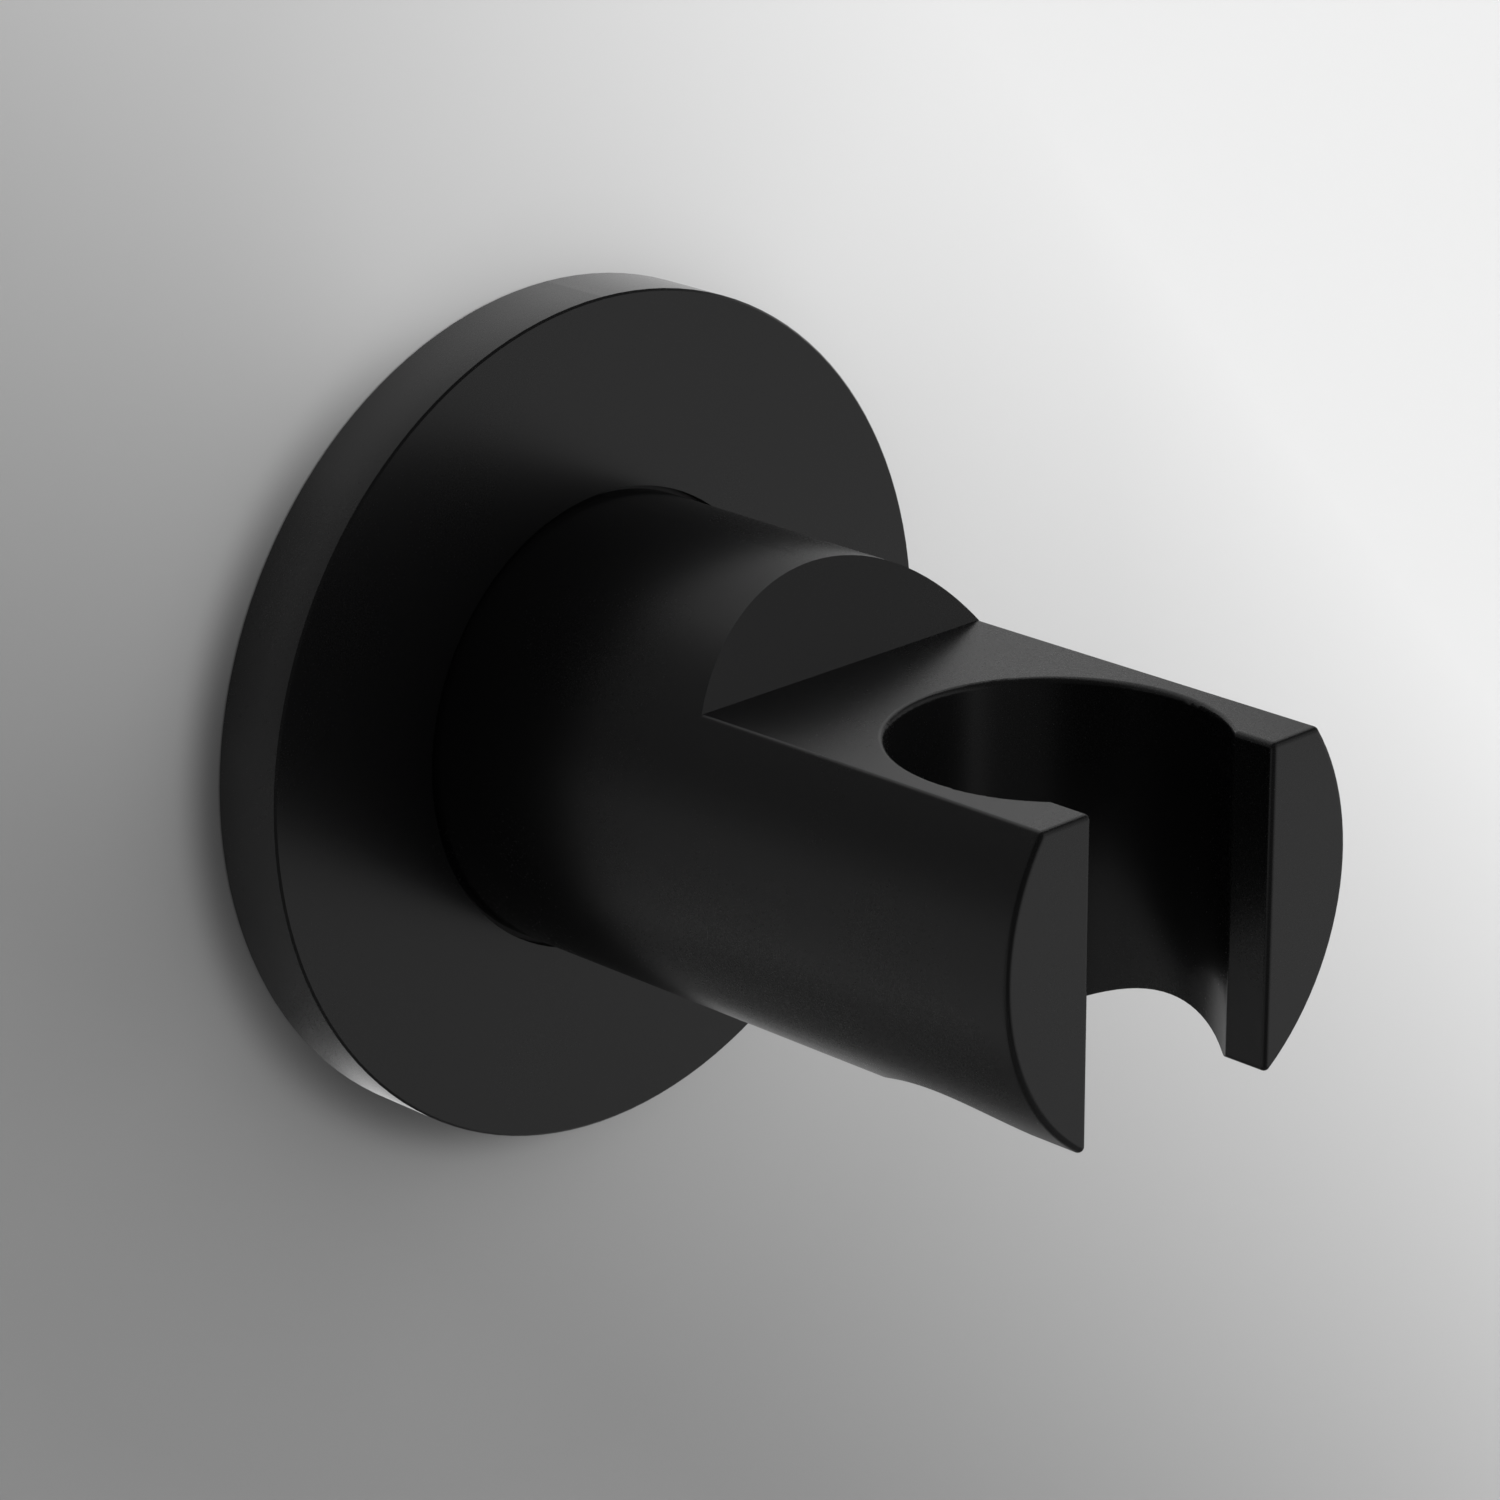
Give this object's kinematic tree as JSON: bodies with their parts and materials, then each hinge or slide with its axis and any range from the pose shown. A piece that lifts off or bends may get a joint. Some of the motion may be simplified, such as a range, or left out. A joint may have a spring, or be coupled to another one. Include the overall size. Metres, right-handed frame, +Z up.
{
  "type": "hand shower holder",
  "caption": "Wall-mounted hand shower holder: a round barrel on a thin wall rose, its front half milled to an open upright cup with a slot for the hose.",
  "frame": {"origin": "on the wall, on the barrel's axis: the centre of the flange's flat back face", "axes": "+Y into the wall along the barrel's axis, +Z up, +X to the right for someone who faces the wall"},
  "size_m": [0.06, 0.0928, 0.06],
  "materials": {
    "matt_black_coating": "fine matt black coating on brass",
    "turned_brass": "bare turned brass with fine tool marks",
    "stainless_steel": "plain stainless steel screws",
    "blackened_steel": "blackened steel",
    "black_rubber": "smooth black rubber"
  },
  "bodies": {
    "root": {"holder_body": "matt_black_coating", "wall_rose": "matt_black_coating", "mounting_boss": "turned_brass", "wall_screws": "stainless_steel", "grub_screw": "blackened_steel", "rose_ring": "black_rubber"}
  },
  "joints": []
}
